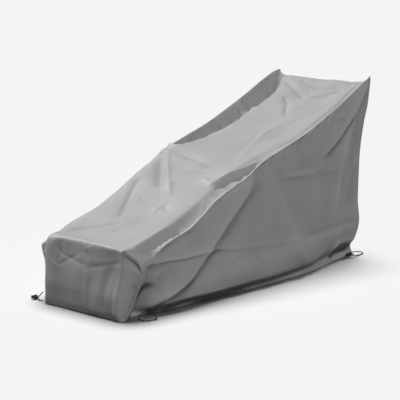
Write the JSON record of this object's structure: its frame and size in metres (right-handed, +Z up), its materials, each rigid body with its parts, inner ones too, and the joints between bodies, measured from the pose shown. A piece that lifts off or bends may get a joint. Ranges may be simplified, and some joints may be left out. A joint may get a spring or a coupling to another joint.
{
  "type": "lounge chair cover",
  "caption": "Wedge-shaped weather cover for a garden lounger, of grey coated cloth: a long strip sewn to two sides, with a drawcord in its hem",
  "frame": {"origin": "on the ground under the middle of the cover", "axes": "+X to the side panel with the loop, +Y from the low foot end to the high head end, +Z up"},
  "size_m": [0.8067, 2.0493, 1.0718],
  "materials": {
    "cover_cloth": "matt coated polyester weave",
    "drawcord": "black braid",
    "lock_plastic": "satin black"
  },
  "bodies": {
    "root": {"centre_panel": "cover_cloth", "side_panel_right": "cover_cloth", "side_panel_left": "cover_cloth", "cord_front_left_upper": "drawcord", "cord_front_left_lower": "drawcord", "cord_lock_front_left": "lock_plastic", "cord_front_right_loop": "drawcord", "cord_back_right_tail": "drawcord", "cord_knot_back_right": "drawcord", "cord_lock_back_right": "lock_plastic", "cord_back_right_loop": "drawcord", "cord_knot_loop": "drawcord", "cord_back_right_return": "drawcord"}
  },
  "joints": []
}
